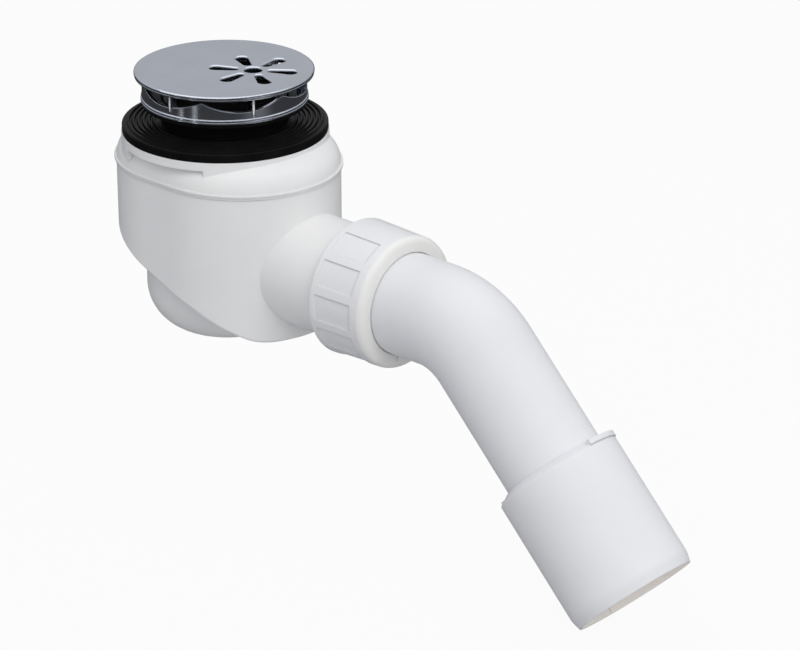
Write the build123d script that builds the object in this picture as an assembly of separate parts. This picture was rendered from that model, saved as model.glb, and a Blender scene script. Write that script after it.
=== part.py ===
from build123d import *
import os
from math import cos, hypot, radians, sin, tan

# Shower trap for a tray with a 52 mm waste hole. Millimetres. +Z is up, +X is the
# way the water leaves. The origin is on the inlet axis, in the plane of the tray's underside.

# Tray fixing, on the inlet axis
tray_hole_room = 2.0      # tray's hole round the thread
tray_gap = 6.8            # room for the tray between gasket and flange seal
gasket_overhang = 2.5     # gasket's edge beyond the body's wall
gasket_t = 4.3
ridge_pitch = 2.0         # sealing ridges on the gasket's top
ridge_h = 0.8
ridge_crest = 0.7
ridge_foot = 1.5
ridge_margin = 2.6        # outer edge of the gasket to the first ridge's middle
gasket_round = 0.9        # its upper outer edge
hole_fit = 0.5            # gasket's collar in the tray hole
collar_h = 5.8
flange_d = 66.0
flange_t = 0.8
flange_seal_t = 1.5
flange_seal_lap = 0.2     # seal's inner edge inside the tray's hole
seal_setback = 0.6        # seal's edge inside the flange's

# Threaded sleeve that clamps the flange to the body
thread_d = 48.0
thread_fit = 0.15         # radial room in a thread or a slide-in fit
sleeve_wall = 2.4
sleeve_head_d = 60.0
sleeve_head_t = 1.8
sleeve_reach = 20.0       # below the tray's underside
sleeve_ledge_h = 2.4
sleeve_ledge_w = 1.9
sleeve_lead = 1.0         # chamfer at the thread's start
funnel_rim = 2.0          # flat rim round the inlet funnel
funnel_deep = 2.0         # funnel's foot below the flange
key_lugs = 4
key_lug_phase = 45.0
key_lug_w = 6.0
key_lug_d = 1.6
key_lug_h = 5.0

# Cover cap
cap_d = 70.8
cap_top = 20.4            # above the tray's underside
cap_plate_t = 1.9
cap_edge_step = 0.2       # lower band of the plate's edge, set back
cap_edge_groove = 0.45
cap_groove_low = 0.63     # groove above the plate's underside
cap_groove_high = 0.89
cap_edge_round = 0.5
skirt_d = 65.8
skirt_draft = 0.5
skirt_wall = 1.5
skirt_bead = 0.35         # rolled foot of the skirt
skirt_bead_h = 0.8
skirt_bead_fade = 0.3
scallop_valley = 3.8      # skirt height at a scallop's lowest point
scallop_rise = 4.0        # cusp above valley
scallop_phase = 29.1      # degrees from +X
fin_count = 6
fin_phase = 35.6          # degrees from +X
fin_t = 1.1
fin_len = 4.1
fin_foot = 1.8            # fin's lower end above the skirt's foot
fin_proud = 0.25
rosette_offset = 11.6     # flower of slots, off the cap's middle
rosette_turn = 32.4       # its direction from +X, degrees
rosette_hole_d = 7.0
petal_count = 6
petal_in = 5.9
petal_out = 17.5
petal_r_in = 1.55
petal_r_out = 2.55
petal_round = 0.8

# Body shells: an oval with round ends, longer towards the outlet
oval_r = 38.2             # outside of the wall at the round ends
oval_back = 7.45          # inlet axis to the rear end's centre
oval_front = 10.2         # inlet axis to the front end's centre
body_wall = 2.2
floor_wall = 2.4
rim_drop = 12.5           # gasket seat down to the seam of the two shells
rim_lip = 0.8
rim_lip_h = 1.0
rim_step = 0.35           # lower lip set back from the upper one
seat_margin = 0.3         # seat's edge beyond the gasket's
seat_t = 3.4
seat_skirt = 7.5          # full depth of the seat's skirt, between the grip pockets
dome_drop = 1.0           # dome's crown below the gasket seat
dome_round = 11.0
neck_wall = 3.6
neck_len = 13.5
pocket_len = 38.0         # grip pockets under the seat, along the straight sides
pocket_shift = 2.0        # their middle ahead of the oval's
pocket_d = 72.4

# Water cup and overflow chamber in the pot
cup_d = 65.3
cup_wall = 2.0
cup_bottom = 82.5         # below the gasket seat
cup_round = 18.6
seal_depth = 50.0         # height of the water seal
dip_gap = 8.0             # dip tube's end above the cup's floor
floor_back_drop = 36.0    # underside of the sloping floor below the seat, at the rear end
floor_knee_x = 17.9
floor_knee_drop = 61.4
floor_low_x = 39.5
floor_low_drop = 73.9
floor_bend_r = 15.0
floor_edge_round = 1.2

# Dip tube
dip_room = 0.4            # round the tube in the sleeve's ledge
dip_wall = 1.7
dip_collar_h = 8.0
dip_mouth_w = 1.0         # tapered mouth
dip_mouth_h = 3.0
o_ring_d = 2.4
o_ring_bury = 0.75        # share of the ring's section inside its groove
groove_room = 0.1
grip_bar_t = 2.5
grip_bar_root = 0.5       # bar's ends sunk in the tube's wall
grip_bar_h = 7.0

# Outlet union, on a level axis
outlet_drop = 47.3        # outlet axis below the gasket seat
pipe_d = 40.0
pipe_wall = 1.9
stub_wall = 2.35
stub_fit = 0.35           # radial room round the pipe in its socket
stub_round = 2.4          # hollow between stub and wall
socket_x = 64.2           # pipe's end stop
stub_end_x = 87.6
stub_thread_h = 1.1
stub_thread_x = 73.6
stub_chamfer = 0.8
run_fit = 0.3             # room between parts that turn against each other
seal_clear = 0.1          # room left beside a seal
nut_wall = 3.3            # over the thread
nut_start_x = 71.2
nut_len = 26.2
nut_room = 0.25           # radial room round the pipe
nut_taper = 0.9           # nut's radius less at its end
nut_end_round = 2.6
nut_edge = 0.5            # chamfer on its other end
nut_rim_w = 2.6
nut_panel_len = 17.8
nut_panel_w = 10.2
nut_panel_deep = 0.5
nut_panels = 12           # places for panels round the nut
nut_plain = 2             # of which these are left plain, side by side
nut_phase = 30.0          # first panel's middle from +Z, degrees
wedge_deep = 3.6          # wedge ring's length inside the stub's mouth
wedge_out = 1.0           # and beyond it
wedge_cone = 1.9
slip_ring_t = 1.6

# Elbow and adaptor
bend_angle = 45.0
bend_r = 34.0
bend_corner_x = 127.8     # where the level axis meets the sloping one
adaptor_step = 5.0        # adaptor's outside over the pipe's
adaptor_start = 62.8      # along the sloping leg, from the corner
adaptor_len = 56.6
adaptor_wall = 1.8
adaptor_socket = 27.0
adaptor_stop_t = 2.0
adaptor_stop_slope = 2.0
adaptor_edge = 0.5        # thin edge round the pipe
adaptor_shoulder = 2.2    # sloping shoulder under that edge
adaptor_corner = 0.6      # chamfer between shoulder and spigot
adaptor_lead = 4.0
adaptor_lead_in = 1.0
adaptor_lead_round = 7.0
adaptor_seal_at = 7.0
adaptor_seal_w = 5.0
adaptor_seal_deep = 2.4
lip_t = 2.0
lip_proud = 0.5
lip_arc = 214.0
lip_turn = -11.0          # middle of the lip, degrees from +Y towards the upper side
lip_drop = 0.2            # lip's upper side below the adaptor's end

# Cutting shapes run past the solid by this much; edges are found to within this much
spare = 10.0
touch = 0.01

# Levels and radii that follow
seat_z = -gasket_t
rim_z = seat_z - rim_drop
outlet_z = seat_z - outlet_drop
flange_seal_z = tray_gap
flange_z = flange_seal_z + flange_seal_t
flange_top = flange_z + flange_t
cup_bottom_z = seat_z - cup_bottom
cup_floor_z = cup_bottom_z + cup_wall
dip_end_z = cup_floor_z + dip_gap
weir_z = dip_end_z + seal_depth
sleeve_end_z = -sleeve_reach
sleeve_bore_r = thread_d / 2 - sleeve_wall
ledge_z = sleeve_end_z + sleeve_ledge_h
oval_mid = (oval_front - oval_back) / 2
oval_span = oval_front + oval_back
pipe_r = pipe_d / 2
tray_hole_d = thread_d + 2 * tray_hole_room
gasket_d = 2 * (oval_r + gasket_overhang)
dip_d = 2 * (sleeve_bore_r - sleeve_ledge_w - dip_room)
seat_d = gasket_d + 2 * seat_margin
stub_d = pipe_d + 2 * (stub_fit + stub_wall)
stub_thread_d = stub_d + 2 * stub_thread_h
nut_d = stub_thread_d + 2 * nut_wall
nut_hole_d = pipe_d + 2 * nut_room
adaptor_d = pipe_d + 2 * adaptor_step
stub_bore_r = pipe_r - pipe_wall
stub_socket_r = pipe_r + stub_fit
nut_end_x = nut_start_x + nut_len
mouth_r = stub_socket_r + wedge_cone
slip_x = stub_end_x + wedge_out
lip_x = slip_x + slip_ring_t + run_fit
dip_collar_r = sleeve_bore_r - thread_fit
o_ring_groove_r = dip_collar_r - o_ring_bury * o_ring_d
o_ring_z = ledge_z + dip_collar_h / 2
outlet_axis = Axis((0, 0, outlet_z), (1, 0, 0))


def turned(points):
    """Turn a closed (radius, height) outline about the vertical axis."""
    return revolve(Plane.XZ * Polygon(*points, align=None), Axis.Z)


def tube(r_out, r_in, z_low, z_high):
    return turned([(r_in, z_low), (r_out, z_low), (r_out, z_high), (r_in, z_high)])


def rod(radius, z_low, z_high):
    return Pos(0, 0, z_low) * extrude(Circle(radius), z_high - z_low)


def turned_on_outlet(points):
    """Turn a closed (x, radius) outline about the level outlet axis."""
    outline = [(x, outlet_z + r) for x, r in points]
    return revolve(Plane.XZ * Polygon(*outline, align=None), outlet_axis)


def oval(radius, z_low, z_high):
    """A prism on the body's oval plan, with round ends of the given radius."""
    plan = SlotCenterToCenter(oval_span, 2 * radius)
    return Pos(oval_mid, 0, z_low) * extrude(plan, z_high - z_low)


def around(shape, count, phase=0.0):
    """Copies of a shape, evenly turned about the vertical axis."""
    step = 360.0 / count
    return [Rot(0, 0, phase + step * i) * shape for i in range(count)]


def make_tray_gasket():
    """Ribbed ring with a thin collar that lines the tray's hole."""
    r_out = gasket_d / 2
    r_in = thread_d / 2 + run_fit
    collar_r = tray_hole_d / 2 - hole_fit
    land = -ridge_h
    outline = [(r_in, seat_z), (r_out, seat_z), (r_out, land)]
    ridge_r = r_out - ridge_margin
    while ridge_r > tray_hole_d / 2 + ridge_pitch:
        outline.append((ridge_r + ridge_foot / 2, land))
        outline.append((ridge_r + ridge_crest / 2, 0))
        outline.append((ridge_r - ridge_crest / 2, 0))
        outline.append((ridge_r - ridge_foot / 2, land))
        ridge_r -= ridge_pitch
    outline += [(collar_r, land), (collar_r, collar_h), (r_in, collar_h)]
    gasket = turned(outline)
    rim = [e for e in gasket.edges().filter_by(GeomType.CIRCLE) if abs(e.center().Z - land) < touch]
    return fillet(ShapeList(rim).sort_by(SortBy.RADIUS)[-1], gasket_round)


def make_flange_seal():
    r_out = flange_d / 2 - seal_setback
    return tube(r_out, tray_hole_d / 2 - flange_seal_lap, flange_seal_z, flange_z)


def make_waste_flange():
    return tube(flange_d / 2, thread_d / 2 + run_fit, flange_z, flange_top)


def make_clamp_sleeve():
    r_out = thread_d / 2
    head_r = sleeve_head_d / 2
    head_top = flange_top + sleeve_head_t
    funnel_z = flange_top - funnel_deep
    outline = [
        (sleeve_bore_r - sleeve_ledge_w, sleeve_end_z),
        (r_out - sleeve_lead, sleeve_end_z),
        (r_out, sleeve_end_z + sleeve_lead),
        (r_out, flange_top),
        (head_r, flange_top),
        (head_r, head_top),
        (head_r - funnel_rim, head_top),
        (sleeve_bore_r, funnel_z),
        (sleeve_bore_r, ledge_z),
        (sleeve_bore_r - sleeve_ledge_w, ledge_z),
    ]
    sleeve = turned(outline)
    lug = Pos(sleeve_bore_r, 0, funnel_z) * Box(
        2 * key_lug_d, key_lug_w, key_lug_h, align=(Align.CENTER, Align.CENTER, Align.MAX)
    )
    lugs = Part() + around(lug, key_lugs, key_lug_phase)
    inside = rod(r_out - thread_fit, sleeve_end_z, head_top)
    return sleeve + (lugs & inside)


def make_dip_tube():
    r_out = dip_d / 2
    r_in = r_out - dip_wall
    collar_top = ledge_z + dip_collar_h
    half = o_ring_d / 2 + groove_room
    outline = [
        (r_in, dip_end_z),
        (r_out, dip_end_z),
        (r_out, ledge_z),
        (dip_collar_r, ledge_z),
        (dip_collar_r, o_ring_z - half),
        (o_ring_groove_r, o_ring_z - half),
        (o_ring_groove_r, o_ring_z + half),
        (dip_collar_r, o_ring_z + half),
        (dip_collar_r, collar_top),
        (r_in + dip_mouth_w, collar_top),
        (r_in, collar_top - dip_mouth_h),
    ]
    body = turned(outline)
    bar_z = collar_top - grip_bar_h
    bar_r = r_in + grip_bar_root
    bar = Pos(0, 0, bar_z) * Box(
        2 * bar_r, grip_bar_t, grip_bar_h, align=(Align.CENTER, Align.CENTER, Align.MIN)
    )
    return body + (bar & rod(bar_r, bar_z, collar_top))


def make_dip_tube_seal():
    width = sleeve_bore_r - o_ring_groove_r - seal_clear
    middle_r = (sleeve_bore_r + o_ring_groove_r) / 2
    section = Pos(middle_r, o_ring_z) * Ellipse(width / 2, o_ring_d / 2)
    return revolve(Plane.XZ * section, Axis.Z)


def make_cover_cap():
    plate_low = cap_top - cap_plate_t
    cap_r = cap_d / 2
    plate = turned([
        (0, plate_low),
        (cap_r - cap_edge_step, plate_low),
        (cap_r - cap_edge_step, plate_low + cap_groove_low),
        (cap_r - cap_edge_groove, plate_low + cap_groove_low),
        (cap_r - cap_edge_groove, plate_low + cap_groove_high),
        (cap_r, plate_low + cap_groove_high),
        (cap_r, cap_top),
        (0, cap_top),
    ])
    plate = fillet(plate.edges().filter_by(GeomType.CIRCLE).group_by(Axis.Z)[-1], cap_edge_round)

    foot = flange_top
    skirt_r = skirt_d / 2
    valley = foot + scallop_valley
    cusp = valley + scallop_rise
    skirt = turned([
        (skirt_r - skirt_wall, foot),
        (skirt_r, foot),
        (skirt_r, foot + skirt_bead_h),
        (skirt_r - skirt_bead, foot + skirt_bead_h + skirt_bead_fade),
        (skirt_r - skirt_draft, cusp),
        (skirt_r - skirt_wall - skirt_draft, cusp),
    ])
    half_chord = skirt_r * sin(radians(180.0 / fin_count))
    scallop_r = (half_chord ** 2 + scallop_rise ** 2) / (2 * scallop_rise)
    scoop = extrude(Plane.YZ * Circle(scallop_r), skirt_r + spare)
    skirt -= around(Pos(0, 0, valley + scallop_r) * scoop, fin_count, scallop_phase)

    fin_r = skirt_r + fin_proud - skirt_bead
    fin = Pos(fin_r - fin_len, 0, foot + fin_foot) * Box(
        fin_len, fin_t, plate_low - foot - fin_foot, align=(Align.MIN, Align.CENTER, Align.MIN)
    )
    cap = plate + skirt + around(fin, fin_count, fin_phase)

    petal = make_hull(
        (Pos(petal_in + petal_r_in, 0) * Circle(petal_r_in)).edges()
        + (Pos(petal_out - petal_r_out, 0) * Circle(petal_r_out)).edges()
    )
    rosette = Sketch() + around(petal, petal_count)
    rosette += Circle(rosette_hole_d / 2)
    slots = extrude(rosette, cap_plate_t)
    cap -= Rot(0, 0, rosette_turn) * Pos(rosette_offset, 0, plate_low) * slots
    top_edges = cap.edges().group_by(Axis.Z)[-1]
    slot_edges = [e for e in top_edges if e.bounding_box().size.X < cap_r]
    return fillet(slot_edges, petal_round)


def make_body_top():
    crown_z = seat_z - dome_drop
    dome = oval(oval_r, rim_z, crown_z)
    dome = fillet(dome.edges().group_by(Axis.Z)[-1], dome_round)
    seat = rod(seat_d / 2, seat_z - seat_skirt, seat_z)
    pocket = Pos(oval_mid + pocket_shift, 0, seat_z - seat_t) * Box(
        pocket_len, 2 * seat_d, seat_skirt, align=(Align.CENTER, Align.CENTER, Align.MAX)
    )
    seat -= pocket - rod(pocket_d / 2, rim_z, seat_z)
    lip = oval(oval_r + rim_lip, rim_z, rim_z + rim_lip_h)
    shell = dome + seat + lip

    inner = oval(oval_r - body_wall, rim_z, crown_z - body_wall)
    inner = fillet(inner.edges().group_by(Axis.Z)[-1], dome_round - body_wall)
    shell -= inner
    neck_r = thread_d / 2 + thread_fit
    shell += rod(neck_r + neck_wall, seat_z - neck_len, seat_z)
    return shell - rod(neck_r, rim_z - neck_len, seat_z)


def floor_block(lift):
    """What lies below the sloping floor, raised by a wall's thickness."""
    back_x = -oval_back - oval_r
    front_x = oval_front + oval_r
    low = cup_bottom_z - spare
    profile = Polygon(
        (back_x - spare, seat_z - floor_back_drop + lift),
        (back_x, seat_z - floor_back_drop + lift),
        (floor_knee_x, seat_z - floor_knee_drop + lift),
        (floor_low_x, seat_z - floor_low_drop + lift),
        (front_x + spare, seat_z - floor_low_drop + lift),
        (front_x + spare, low),
        (back_x - spare, low),
        align=None,
    )
    knees = [v for v in profile.vertices() if back_x < v.X < front_x and v.Y > low]
    knees = [v for v in knees if v.X > 0]
    profile = fillet(knees, floor_bend_r)
    return extrude(Plane.XZ * profile, 2 * oval_r, both=True)


def on_stub(edge):
    """Whether an edge lies all along on the stub's outside."""
    spots = [edge.position_at(share) for share in (0.1, 0.35, 0.6, 0.85)]
    return all(abs(hypot(p.Y, p.Z - outlet_z) - stub_d / 2) < touch for p in spots)


def make_body_pot():
    outside = oval(oval_r, cup_bottom_z, rim_z) - floor_block(0)
    under = [f for f in outside.faces() if f.normal_at().Z < -0.5]
    edges = [e for f in under for e in f.edges()]
    outline = [e for e in edges if abs(e.tangent_at(0.5).Y) < 0.98 or abs(e.center().X) > floor_low_x]
    outside = fillet(outline, floor_edge_round)

    stub_r = stub_d / 2
    thread_r = stub_thread_d / 2
    outside += turned_on_outlet([
        (oval_front, 0),
        (oval_front, stub_r),
        (stub_thread_x, stub_r),
        (stub_thread_x + thread_r - stub_r, thread_r),
        (stub_end_x - stub_chamfer, thread_r),
        (stub_end_x, thread_r - stub_chamfer),
        (stub_end_x, 0),
    ])
    root = [e for e in outside.edges() if on_stub(e) and e.center().X < oval_front + oval_r]
    outside = fillet(root, stub_round)
    outside += oval(oval_r + rim_lip - rim_step, rim_z - rim_lip_h, rim_z)

    chamber = oval(oval_r - body_wall, cup_bottom_z, rim_z) - floor_block(floor_wall)
    shell = outside - chamber

    cup_r = cup_d / 2
    cup = rod(cup_r, cup_bottom_z, weir_z)
    cup = fillet(cup.edges().group_by(Axis.Z)[0], cup_round)
    well = rod(cup_r - cup_wall, cup_floor_z, rim_z)
    well = fillet(well.edges().group_by(Axis.Z)[0], cup_round - cup_wall)
    pot = shell + cup - well
    return pot - turned_on_outlet([
        (cup_r + cup_wall, 0),
        (cup_r + cup_wall, stub_bore_r),
        (socket_x, stub_bore_r),
        (socket_x, stub_socket_r),
        (stub_end_x - wedge_deep, stub_socket_r),
        (stub_end_x, mouth_r),
        (stub_end_x, 0),
    ])


def make_pipe_seal():
    r_in = pipe_r + seal_clear
    r_out = mouth_r - seal_clear
    tip_x = stub_end_x - wedge_deep + run_fit
    return turned_on_outlet([
        (tip_x, r_in),
        (tip_x, stub_socket_r),
        (stub_end_x, r_out),
        (slip_x, r_out),
        (slip_x, r_in),
    ])


def make_slip_ring():
    r_in = pipe_r + stub_fit
    r_out = stub_thread_d / 2
    return turned_on_outlet([
        (slip_x, r_in),
        (slip_x, r_out),
        (slip_x + slip_ring_t, r_out),
        (slip_x + slip_ring_t, r_in),
    ])


def nut_outside(x):
    """The nut's outer radius at a place along its axis."""
    return nut_d / 2 - nut_taper * (x - nut_start_x) / nut_len


def make_union_nut():
    nut_r = nut_d / 2
    bore_r = stub_thread_d / 2 + run_fit
    nut = turned_on_outlet([
        (nut_start_x, bore_r),
        (nut_start_x, nut_r - nut_edge),
        (nut_start_x + nut_edge, nut_outside(nut_start_x + nut_edge)),
        (nut_end_x, nut_outside(nut_end_x)),
        (nut_end_x, nut_hole_d / 2),
        (lip_x, nut_hole_d / 2),
        (lip_x, bore_r),
    ])
    nut = fillet(nut.edges().group_by(Axis.X)[-1].sort_by(SortBy.RADIUS)[-1], nut_end_round)
    panel_x = nut_start_x + nut_rim_w
    panel_end = panel_x + nut_panel_len
    skin = turned_on_outlet([
        (panel_x, nut_outside(panel_x) - nut_panel_deep),
        (panel_x, nut_r + spare),
        (panel_end, nut_r + spare),
        (panel_end, nut_outside(panel_end) - nut_panel_deep),
    ])
    window = Pos(panel_x, 0, outlet_z) * Box(
        nut_panel_len, nut_panel_w, 2 * nut_r, align=(Align.MIN, Align.CENTER, Align.MIN)
    )
    panel = skin & window
    step = 360.0 / nut_panels
    return nut - [panel.rotate(outlet_axis, nut_phase + step * i) for i in range(nut_panels - nut_plain)]


def leg_plane():
    """Frame of the sloping leg: its own Z runs down the pipe from the bend's corner."""
    slope = radians(bend_angle)
    return Plane(
        origin=(bend_corner_x, 0, outlet_z), x_dir=(0, 1, 0), z_dir=(cos(slope), 0, -sin(slope))
    )


def make_outlet_elbow():
    section = Circle(pipe_r) - Circle(pipe_r - pipe_wall)
    start_x = socket_x + run_fit
    tangent = bend_r * tan(radians(bend_angle / 2))
    bend_x = bend_corner_x - tangent
    level = extrude(Plane((start_x, 0, outlet_z), z_dir=(1, 0, 0)) * section, bend_x - start_x)
    bend_axis = Axis((bend_x, 0, outlet_z - bend_r), (0, 1, 0))
    bend = revolve(Plane((bend_x, 0, outlet_z), z_dir=(1, 0, 0)) * section, bend_axis, bend_angle)
    leg_end = adaptor_start + adaptor_socket - thread_fit
    leg = leg_plane() * (Pos(0, 0, tangent) * extrude(section, leg_end - tangent))
    return level + bend + leg


def make_spigot_adaptor():
    r_out = adaptor_d / 2
    socket_r = pipe_r + thread_fit
    end = adaptor_start + adaptor_len
    stop = adaptor_start + adaptor_socket
    groove = adaptor_start + adaptor_seal_at
    sleeve = turned([
        (socket_r, adaptor_start),
        (socket_r + adaptor_edge, adaptor_start),
        (r_out - adaptor_corner, adaptor_start + adaptor_shoulder),
        (r_out, adaptor_start + adaptor_shoulder + adaptor_corner),
        (r_out, end - adaptor_lead),
        (r_out - adaptor_lead_in, end),
        (r_out - adaptor_wall, end),
        (r_out - adaptor_wall, stop + adaptor_stop_t + adaptor_stop_slope),
        (stub_bore_r, stop + adaptor_stop_t),
        (stub_bore_r, stop),
        (socket_r, stop),
        (socket_r, groove + adaptor_seal_w),
        (socket_r + adaptor_seal_deep, groove + adaptor_seal_w),
        (socket_r + adaptor_seal_deep, groove),
        (socket_r, groove),
    ])
    circles = sleeve.edges().filter_by(GeomType.CIRCLE)
    lead = [e for e in circles if abs(e.center().Z - end + adaptor_lead) < touch]
    sleeve = fillet(lead, adaptor_lead_round)
    start_turn = lip_turn - lip_arc / 2
    lip_z = adaptor_start + lip_drop
    rim = Polygon(
        (r_out - lip_t, lip_z),
        (r_out + lip_proud, lip_z),
        (r_out + lip_proud, lip_z + lip_t),
        (r_out - lip_t, lip_z + lip_t),
        align=None,
    )
    lip = Rot(0, 0, start_turn) * revolve(Plane.XZ * rim, Axis.Z, lip_arc)
    return leg_plane() * (sleeve + lip)


def make_adaptor_seal():
    groove = adaptor_start + adaptor_seal_at
    r_in = pipe_r + seal_clear
    r_out = pipe_r + thread_fit + adaptor_seal_deep - seal_clear
    low = groove + seal_clear
    return leg_plane() * tube(r_out, r_in, low, groove + adaptor_seal_w - seal_clear)


parts = {
    "cover_cap": make_cover_cap,
    "waste_flange": make_waste_flange,
    "flange_seal": make_flange_seal,
    "clamp_sleeve": make_clamp_sleeve,
    "tray_gasket": make_tray_gasket,
    "body_top": make_body_top,
    "body_pot": make_body_pot,
    "dip_tube": make_dip_tube,
    "dip_tube_seal": make_dip_tube_seal,
    "pipe_seal": make_pipe_seal,
    "slip_ring": make_slip_ring,
    "union_nut": make_union_nut,
    "outlet_elbow": make_outlet_elbow,
    "spigot_adaptor": make_spigot_adaptor,
    "adaptor_seal": make_adaptor_seal,
}

os.makedirs("parts", exist_ok=True)
for name, make in parts.items():
    export_step(make(), f"parts/{name}.step")
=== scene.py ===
from math import cos, pi, radians, sin

import bmesh
import bpy
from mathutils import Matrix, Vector


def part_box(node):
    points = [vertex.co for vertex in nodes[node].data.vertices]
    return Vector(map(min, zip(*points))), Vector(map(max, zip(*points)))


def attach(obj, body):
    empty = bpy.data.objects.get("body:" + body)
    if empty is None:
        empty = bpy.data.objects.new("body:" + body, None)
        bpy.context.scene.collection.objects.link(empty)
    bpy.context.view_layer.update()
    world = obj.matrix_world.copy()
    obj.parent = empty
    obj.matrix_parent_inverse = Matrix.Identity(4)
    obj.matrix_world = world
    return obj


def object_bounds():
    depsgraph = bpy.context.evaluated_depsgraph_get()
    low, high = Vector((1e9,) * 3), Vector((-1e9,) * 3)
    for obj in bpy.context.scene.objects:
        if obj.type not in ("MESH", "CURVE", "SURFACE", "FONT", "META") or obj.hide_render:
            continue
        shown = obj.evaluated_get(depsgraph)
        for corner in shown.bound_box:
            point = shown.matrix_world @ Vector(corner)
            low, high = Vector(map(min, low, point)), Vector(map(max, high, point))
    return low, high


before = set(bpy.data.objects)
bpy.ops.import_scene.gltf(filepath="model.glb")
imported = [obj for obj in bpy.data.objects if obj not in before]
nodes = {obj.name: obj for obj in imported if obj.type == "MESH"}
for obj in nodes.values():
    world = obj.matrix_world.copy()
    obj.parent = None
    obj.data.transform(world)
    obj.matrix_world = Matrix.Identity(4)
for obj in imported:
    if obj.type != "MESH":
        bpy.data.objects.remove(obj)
cad_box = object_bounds()
nut_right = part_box("union_nut")[1].x

# Camera, on the photograph's 800 by 650 frame
camera_place = (0.880166, -0.849533, 0.436741)
camera_pitch = 66.7065
camera_turn = 42.7903
camera_lens = 147.996
camera_sensor = 36.0

# Light: azimuth from the front towards +X, elevation, distance in metres, width, height, watts, colour
lights = {
    "key": (64.0, 47.0, 1.4, 1.0, 1.0, 7.7, (1.0, 0.985, 0.96)),
}
aim = Vector((0.08, 0.0, -0.06))      # where the lamps point
sky_level = (0.40, 0.407, 0.421)      # at the horizon and below
sky_top = (0.82, 0.83, 0.85)
panel_way = (0.063, -0.060, 0.996)    # soft panel overhead, as bright metal shows it
panel_start = 0.57                    # cosines from its middle
panel_full = 0.82
panel_bright = (1.36, 1.36, 1.36)
front_way = (0.719, -0.695, 0.0)      # unlit side of the room, under that panel
front_start = 0.15
front_full = 0.45
front_dark = (0.20, 0.20, 0.21)
floor_gap = 0.0004
floor_half = 4.0
floor_colour = (0.60, 0.60, 0.61)
floor_glow = 0.94
floor_dim = 0.02
# lit pools on the floor, as bright metal shows them: place, full to, gone at, brightness
pools = (
    ((0.41, 0.0, -0.155), 0.08, 0.24, 0.25),
    ((-0.132, -0.487, -0.155), 0.012, 0.034, 2.2),
    ((0.044, -0.505, -0.155), 0.016, 0.040, 2.6),
)

# Low beads, metres
mark_width = 0.00034
mark_proud = 0.00008
mark_steps = 12
bead_points = 7

# The cover's fins and the painted highlights on their edges, metres and degrees
fin_count = 6
fin_phase = 35.6                  # from +X
fin_edge_r = 0.0328
fin_edge_reach = (0.0111, 0.0183)
fin_edge_width = 0.0009

# The nut's end and the spigot's mouth, with their moulding marks and painted light through their walls,
# metres and degrees
nut_axis = (0.0, -0.0516)         # y and z of the level outlet axis
nut_mark_turn = 165.3             # from +Z towards -Y
nut_mark_reach = (0.0205, 0.0232)
nut_end_light_band = (0.0026, 0.0010)   # start and full painted light, before the end
leg_corner = (0.1278, 0.0, -0.0516)
leg_slope = radians(45.0)
leg_way = (cos(leg_slope), 0.0, -sin(leg_slope))
mouth_at = 0.1194                 # from the corner, along the sloping leg
mouth_bore_r = 0.0232
mouth_light_band = (0.0008, 0.0003)     # start and full painted light, outside the bore
mouth_light_deep = (0.088, 0.092)       # the same along the leg, from the corner
mouth_mark_turn = 286.0           # from +Y, about the leg
mouth_mark_len = 0.0045

# Colours, linear
white_pot = ((0.888, 0.887, 0.881), (0.847, 0.85, 0.855))
white_pipe = ((0.835, 0.84, 0.86), (0.80, 0.805, 0.83))
white_nut = ((0.86, 0.865, 0.88), (0.825, 0.83, 0.845))
# painted light: a warmer, lighter tint at the nut's end for light through its thin wall
nut_end_light_tint = (0.876, 0.871, 0.854)
# painted light inside the spigot's mouth for light through its wall: a warm tint, then a faint painted
# glow as emission
mouth_light_tint = (0.975, 0.95, 0.915)
mouth_painted_glow = (0.094, 0.085, 0.077)
# painted highlights on the chrome fins' outer edges
fin_painted_highlight = ((0.86, 0.86, 0.85), (0.78, 0.78, 0.78))
mark_dark = ((0.22, 0.19, 0.17), (0.36, 0.33, 0.30))
rubber = ((0.0045, 0.0045, 0.005), (0.0075, 0.0075, 0.008))
chrome = ((0.63, 0.665, 0.745), (0.59, 0.625, 0.70))
black_plastic = ((0.012, 0.012, 0.013), (0.02, 0.02, 0.021))

# Surfaces: noise scales in 1 / metre, bump depths and edge radii in metres
noise_middle = (0.3, 0.7)         # range of a noise that is spread over a ramp
noise_rough = 0.55
edge_samples = 8
cloud_scale = 28.0
skin_scale = 1500.0
skin_deep = 0.00002
skin_spread = (-0.05, 0.06)       # of a plastic's roughness
sink_scale = 45.0
sink_deep = 0.00010
plastic_ior = 1.49
light_depth = 0.003               # how far light goes into the white plastics
light_spread = (1.0, 0.92, 0.82)
light_share = 0.25
mark_edge = 0.0001
bloom_scale = 120.0
rubber_skin_scale = 1800.0
rubber_skin_deep = 0.00001
rubber_rough = (0.16, 0.24)
rubber_sheen = 0.04
rubber_edge = 0.0001
haze_scale = 60.0
grain_scale = 2600.0
grain_stretch = (0.04, 1.0, 1.0)
grain_deep = 0.000002
grain_spread = (-0.03, 0.04)      # of the chrome's roughness
chrome_rough = 0.13
chrome_edge = 0.00045


def new_material(name):
    """A material with its Principled shader and object coordinates."""
    material = bpy.data.materials.new(name)
    material.use_nodes = True
    tree = material.node_tree
    shader = tree.nodes["Principled BSDF"]
    place = tree.nodes.new("ShaderNodeTexCoord").outputs["Object"]
    return material, tree, shader, place


def plug(tree, value, socket):
    """Link an output to the socket, or set a plain number or colour on it."""
    if isinstance(value, float):
        socket.default_value = value
    elif isinstance(value, tuple):
        socket.default_value = (*value, 1.0)
    else:
        tree.links.new(value, socket)


def combine(tree, operation, a, b):
    """One arithmetic operation of two outputs or plain numbers."""
    node = tree.nodes.new("ShaderNodeMath")
    node.operation = operation
    plug(tree, a, node.inputs[0])
    plug(tree, b, node.inputs[1])
    return node.outputs[0]


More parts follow.
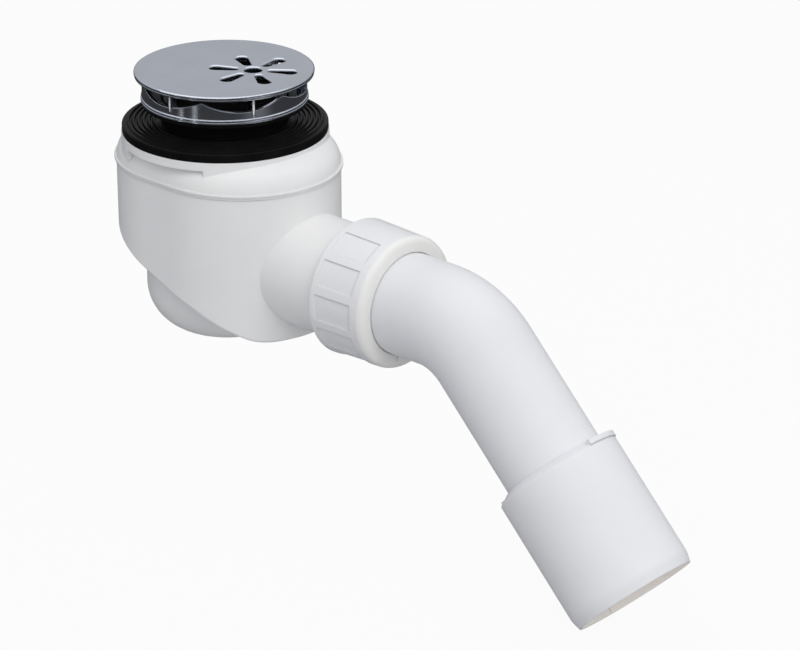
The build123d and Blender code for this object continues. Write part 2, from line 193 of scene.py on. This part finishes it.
def measure(tree, operation, place, vector):
    """One vector operation of a place with a fixed vector."""
    node = tree.nodes.new("ShaderNodeVectorMath")
    node.operation = operation
    tree.links.new(place, node.inputs[0])
    node.inputs[1].default_value = vector
    return node


def noise(tree, place, scale, detail):
    """Noise with features of about 1 / scale metres."""
    node = tree.nodes.new("ShaderNodeTexNoise")
    node.inputs["Scale"].default_value = scale
    node.inputs["Detail"].default_value = detail
    node.inputs["Roughness"].default_value = noise_rough
    tree.links.new(place, node.inputs["Vector"])
    return node.outputs["Fac"]


def ramp(tree, value, low, high):
    """The value's middle range spread from low to high; both are numbers or both colours."""
    start, end = noise_middle
    if isinstance(low, tuple):
        node = tree.nodes.new("ShaderNodeValToRGB")
        node.color_ramp.elements[0].position = start
        node.color_ramp.elements[0].color = (*low, 1.0)
        node.color_ramp.elements[1].position = end
        node.color_ramp.elements[1].color = (*high, 1.0)
        tree.links.new(value, node.inputs["Fac"])
        return node.outputs["Color"]
    node = tree.nodes.new("ShaderNodeMapRange")
    node.inputs["From Min"].default_value = start
    node.inputs["From Max"].default_value = end
    node.inputs["To Min"].default_value = low
    node.inputs["To Max"].default_value = high
    tree.links.new(value, node.inputs["Value"])
    return node.outputs["Result"]


def bump(tree, height, depth, base):
    """Bump of the given depth in metres, on top of another normal."""
    node = tree.nodes.new("ShaderNodeBump")
    node.inputs["Distance"].default_value = depth
    node.inputs["Strength"].default_value = 1.0
    tree.links.new(height, node.inputs["Height"])
    tree.links.new(base, node.inputs["Normal"])
    return node.outputs["Normal"]


def soft_edges(tree, radius):
    """Normals that round the edges off by a radius in metres."""
    node = tree.nodes.new("ShaderNodeBevel")
    node.samples = edge_samples
    node.inputs["Radius"].default_value = radius
    return node.outputs["Normal"]


def tinted(tree, colour, share, tint):
    """The colour, turned into the tint by a share from 0 to 1."""
    node = tree.nodes.new("ShaderNodeMix")
    node.data_type = "RGBA"
    tree.links.new(share, node.inputs["Factor"])
    plug(tree, colour, node.inputs["A"])
    plug(tree, tint, node.inputs["B"])
    return node.outputs["Result"]


def beyond(tree, value, start, end, first=0.0, last=1.0):
    """The first number up to start and the last from end on, with a soft change between."""
    node = tree.nodes.new("ShaderNodeMapRange")
    node.interpolation_type = "SMOOTHSTEP"
    node.inputs["From Min"].default_value = start
    node.inputs["From Max"].default_value = end
    node.inputs["To Min"].default_value = first
    node.inputs["To Max"].default_value = last
    tree.links.new(value, node.inputs["Value"])
    return node.outputs["Result"]


def nut_end_painted_light(tree, place):
    """Painted light: warmer and lighter towards the nut's rounded end, for light through its thin wall.
    """
    split = tree.nodes.new("ShaderNodeSeparateXYZ")
    tree.links.new(place, split.inputs[0])
    start, full = nut_end_light_band
    return beyond(tree, split.outputs["X"], nut_right - start, nut_right - full)


def mouth_painted_light(tree, place):
    """Painted light inside the spigot's mouth: warmer and brighter for light through its wall, told by
    the distance from the sloping axis.
    """
    spot = measure(tree, "SUBTRACT", place, leg_corner).outputs["Vector"]
    square = measure(tree, "CROSS_PRODUCT", spot, leg_way).outputs["Vector"]
    reach = tree.nodes.new("ShaderNodeVectorMath")
    reach.operation = "LENGTH"
    tree.links.new(square, reach.inputs[0])
    depth = measure(tree, "DOT_PRODUCT", spot, leg_way).outputs["Value"]
    start, full = mouth_light_band
    within = beyond(tree, reach.outputs["Value"], mouth_bore_r + start, mouth_bore_r + full)
    return combine(tree, "MULTIPLY", within, beyond(tree, depth, *mouth_light_deep))


def plastic(name, colours, rough, edge, glow=0.0, part=None, tint=None, painted_glow=None):
    """Moulded plastic: faint clouding, fine skin grain and slow sink waves.

    Light passes a little way into it by the share glow; part gives where it takes a
    painted tint of light through its wall and where a faint painted emission glow is added.
    """
    material, tree, shader, place = new_material(name)
    colour = ramp(tree, noise(tree, place, cloud_scale, detail=3.0), *colours)
    if part is not None:
        share = part(tree, place)
        colour = tinted(tree, colour, share, tint)
    if painted_glow is not None:
        tree.links.new(tinted(tree, (0.0, 0.0, 0.0), share, painted_glow), shader.inputs["Emission Color"])
        shader.inputs["Emission Strength"].default_value = 1.0
    tree.links.new(colour, shader.inputs["Base Color"])
    shader.inputs["Subsurface Weight"].default_value = glow
    shader.inputs["Subsurface Radius"].default_value = light_spread
    shader.inputs["Subsurface Scale"].default_value = light_depth
    skin = noise(tree, place, skin_scale, detail=3.0)
    low, high = skin_spread
    tree.links.new(ramp(tree, skin, rough + low, rough + high), shader.inputs["Roughness"])
    shader.inputs["IOR"].default_value = plastic_ior
    normal = bump(tree, skin, skin_deep, soft_edges(tree, edge))
    normal = bump(tree, noise(tree, place, sink_scale, detail=2.0), sink_deep, normal)
    tree.links.new(normal, shader.inputs["Normal"])
    return material


def black_rubber(name):
    """Moulded rubber: matt skin, faint bloom."""
    material, tree, shader, place = new_material(name)
    bloom = noise(tree, place, bloom_scale, detail=5.0)
    tree.links.new(ramp(tree, bloom, *rubber), shader.inputs["Base Color"])
    skin = noise(tree, place, rubber_skin_scale, detail=3.0)
    tree.links.new(ramp(tree, bloom, *rubber_rough), shader.inputs["Roughness"])
    shader.inputs["Specular IOR Level"].default_value = rubber_sheen
    normal = bump(tree, skin, rubber_skin_deep, soft_edges(tree, rubber_edge))
    tree.links.new(normal, shader.inputs["Normal"])
    return material


def chrome_plate(name):
    """Chrome plate with a fine grain drawn out along X."""
    material, tree, shader, place = new_material(name)
    shader.inputs["Metallic"].default_value = 1.0
    haze = noise(tree, place, haze_scale, detail=4.0)
    tree.links.new(ramp(tree, haze, *chrome), shader.inputs["Base Color"])
    stretch = tree.nodes.new("ShaderNodeMapping")
    stretch.inputs["Scale"].default_value = grain_stretch
    tree.links.new(place, stretch.inputs["Vector"])
    lines = noise(tree, stretch.outputs["Vector"], grain_scale, detail=2.0)
    low, high = grain_spread
    tree.links.new(ramp(tree, lines, chrome_rough + low, chrome_rough + high), shader.inputs["Roughness"])
    normal = bump(tree, lines, grain_deep, soft_edges(tree, chrome_edge))
    tree.links.new(normal, shader.inputs["Normal"])
    return material


def dress(material, *names):
    """Give the named pieces the material alone."""
    for name in names:
        mesh = nodes[name].data
        mesh.materials.clear()
        mesh.materials.append(material)


dress(chrome_plate("satin_chrome"), "cover_cap", "waste_flange")
dress(
    black_rubber("black_rubber"),
    "tray_gasket", "flange_seal", "dip_tube_seal", "pipe_seal", "adaptor_seal",
)
dress(
    plastic("pot_plastic", white_pot, rough=0.38, edge=0.0005, glow=light_share),
    "body_top", "body_pot", "dip_tube",
)
dress(plastic("black_plastic", black_plastic, rough=0.30, edge=0.0004), "clamp_sleeve")
dress(
    plastic(
        "nut_plastic", white_nut, rough=0.34, edge=0.0006, glow=light_share,
        part=nut_end_painted_light, tint=nut_end_light_tint,
    ),
    "union_nut", "slip_ring",
)
dress(plastic("pipe_plastic", white_pipe, rough=0.48, edge=0.0005, glow=light_share), "outlet_elbow")
dress(
    plastic(
        "adaptor_plastic", white_pipe, rough=0.48, edge=0.0005, glow=light_share,
        part=mouth_painted_light, tint=mouth_light_tint, painted_glow=mouth_painted_glow,
    ),
    "spigot_adaptor",
)


def ribbon(name, path, side, out, material, body, width=mark_width):
    """A low rounded bead along a path of points, with its side and outward ways."""
    bead = bmesh.new()
    count = len(path)
    rows = []
    for i, spot in enumerate(path):
        share = sin(pi * (i + 0.5) / count) ** 0.5
        row = []
        for k in range(bead_points):
            turn = pi * k / (bead_points - 1)
            reach = side * (cos(turn) * width / 2 * share)
            rise = out * (sin(turn) * mark_proud * share - mark_proud / 2)
            row.append(bead.verts.new(spot + reach + rise))
        rows.append(row)
    for low, high in zip(rows, rows[1:]):
        for k in range(bead_points - 1):
            bead.faces.new((low[k], low[k + 1], high[k + 1], high[k]))
        bead.faces.new((low[-1], low[0], high[0], high[-1]))
    bead.faces.new(rows[0][::-1])
    bead.faces.new(rows[-1])
    bmesh.ops.recalc_face_normals(bead, faces=bead.faces)
    mesh = bpy.data.meshes.new(name)
    bead.to_mesh(mesh)
    bead.free()
    mesh.materials.append(material)
    piece = bpy.data.objects.new(name, mesh)
    bpy.context.scene.collection.objects.link(piece)
    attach(piece, body)


def make_marks():
    """The scar of the gate on the nut's end, and a flow line in the spigot's mouth."""
    scar = plastic("mould_mark", mark_dark, rough=0.5, edge=mark_edge)
    turn = radians(nut_mark_turn)
    away = Vector((0.0, -sin(turn), cos(turn)))
    side = Vector((0.0, cos(turn), sin(turn)))
    start, end = nut_mark_reach
    path = []
    for i in range(mark_steps):
        r = start + (end - start) * i / (mark_steps - 1)
        path.append(Vector((nut_right, *nut_axis)) + away * r)
    ribbon("nut_gate_scar", path, side, Vector((1.0, 0.0, 0.0)), scar, "nut")

    along = Vector(leg_way)
    turn = radians(mouth_mark_turn)
    out = Vector((0.0, cos(turn), 0.0)) + Vector((cos(leg_slope), 0.0, sin(leg_slope))) * sin(turn)
    side = along.cross(out)
    path = []
    for i in range(mark_steps):
        depth = mouth_at - mouth_mark_len * i / (mark_steps - 1)
        path.append(Vector(leg_corner) + along * depth + out * mouth_bore_r)
    ribbon("mouth_flow_line", path, side, -out, scar, "arm")


def make_fin_edges():
    """Pale beads along the outer edges of the cover's fins: painted highlights for the white reflections
    on these chrome edges.
    """
    bright = plastic("fin_painted_highlight", fin_painted_highlight, rough=0.3, edge=mark_edge)
    low, high = fin_edge_reach
    for n in range(fin_count):
        turn = radians(fin_phase + 360.0 * n / fin_count)
        out = Vector((cos(turn), sin(turn), 0.0))
        side = Vector((-sin(turn), cos(turn), 0.0))
        path = []
        for i in range(mark_steps):
            z = low + (high - low) * i / (mark_steps - 1)
            path.append(out * fin_edge_r + Vector((0.0, 0.0, z)))
        ribbon("fin_edge_%d" % (n + 1), path, side, out, bright, "trap", fin_edge_width)


def make_floor():
    """Pale floor just under the object: white to the eye, with part of the shadow kept."""
    level = cad_box[0][2] - floor_gap
    mesh = bpy.data.meshes.new("floor")
    corners = [(-floor_half, -floor_half, level), (floor_half, -floor_half, level),
               (floor_half, floor_half, level), (-floor_half, floor_half, level)]
    mesh.from_pydata(corners, [], [(0, 1, 2, 3)])
    floor = bpy.data.objects.new("floor", mesh)
    bpy.context.scene.collection.objects.link(floor)
    material = bpy.data.materials.new("floor_white")
    material.use_nodes = True
    tree = material.node_tree
    tree.nodes.clear()
    diffuse = tree.nodes.new("ShaderNodeBsdfDiffuse")
    diffuse.inputs["Color"].default_value = (*floor_colour, 1.0)
    glow = tree.nodes.new("ShaderNodeEmission")
    rays = tree.nodes.new("ShaderNodeLightPath")

    place = tree.nodes.new("ShaderNodeTexCoord").outputs["Object"]
    lit = floor_dim
    for spot, near, far, bright in pools:
        reach = measure(tree, "DISTANCE", place, spot).outputs["Value"]
        lit = combine(tree, "MAXIMUM", lit, beyond(tree, reach, near, far, bright, floor_dim))
    direct = combine(tree, "MAXIMUM", rays.outputs["Is Camera Ray"], rays.outputs["Is Transmission Ray"])
    mirrored = combine(tree, "MULTIPLY", rays.outputs["Is Glossy Ray"], lit)
    tree.links.new(combine(tree, "MAXIMUM", direct, mirrored), glow.inputs["Strength"])
    seen = combine(tree, "MAXIMUM", direct, rays.outputs["Is Glossy Ray"])
    mix = tree.nodes.new("ShaderNodeMixShader")
    tree.links.new(combine(tree, "MULTIPLY", seen, floor_glow), mix.inputs["Fac"])
    tree.links.new(diffuse.outputs[0], mix.inputs[1])
    tree.links.new(glow.outputs[0], mix.inputs[2])
    out = tree.nodes.new("ShaderNodeOutputMaterial")
    tree.links.new(mix.outputs[0], out.inputs["Surface"])
    mesh.materials.append(material)


def make_sky():
    """Soft room light; mirror rays also meet a bright panel overhead and a darker front."""
    world = bpy.data.worlds.new("studio")
    bpy.context.scene.world = world
    world.use_nodes = True
    tree = world.node_tree
    way = tree.nodes.new("ShaderNodeSeparateXYZ")
    place = tree.nodes.new("ShaderNodeTexCoord").outputs["Generated"]
    tree.links.new(place, way.inputs[0])
    blend = tree.nodes.new("ShaderNodeValToRGB")
    blend.color_ramp.elements[0].color = (*sky_level, 1.0)
    blend.color_ramp.elements[1].color = (*sky_top, 1.0)
    tree.links.new(way.outputs["Z"], blend.inputs["Fac"])
    mirrored = tree.nodes.new("ShaderNodeLightPath").outputs["Is Glossy Ray"]
    sky = blend.outputs["Color"]
    for side, start, full, shade in (
        (front_way, front_start, front_full, front_dark),
        (panel_way, panel_start, panel_full, panel_bright),
    ):
        facing = measure(tree, "DOT_PRODUCT", place, side).outputs["Value"]
        share = combine(tree, "MULTIPLY", beyond(tree, facing, start, full), mirrored)
        sky = tinted(tree, sky, share, shade)
    tree.links.new(sky, tree.nodes["Background"].inputs["Color"])


def make_lights():
    """The lamps light the object but are kept out of its mirror surfaces."""
    for name, (turn, rise, far, width, height, watts, colour) in lights.items():
        lamp = bpy.data.lights.new(name, "AREA")
        lamp.shape = "RECTANGLE"
        lamp.size = width
        lamp.size_y = height
        lamp.energy = watts
        lamp.color = colour
        obj = bpy.data.objects.new(name, lamp)
        obj.visible_glossy = False
        level = cos(radians(rise))
        way = Vector((sin(radians(turn)) * level, -cos(radians(turn)) * level, sin(radians(rise))))
        obj.location = aim + far * way
        obj.rotation_euler = way.to_track_quat("Z", "Y").to_euler()
        bpy.context.scene.collection.objects.link(obj)


def make_camera():
    lens = bpy.data.cameras.new("camera")
    lens.lens = camera_lens
    lens.sensor_width = camera_sensor
    lens.sensor_fit = "HORIZONTAL"
    camera = bpy.data.objects.new("camera", lens)
    camera.location = camera_place
    camera.rotation_euler = (radians(camera_pitch), 0.0, radians(camera_turn))
    bpy.context.scene.collection.objects.link(camera)
    bpy.context.scene.camera = camera


make_marks()
make_fin_edges()
make_floor()
make_sky()
make_lights()
make_camera()
bpy.context.scene.view_settings.view_transform = "Standard"
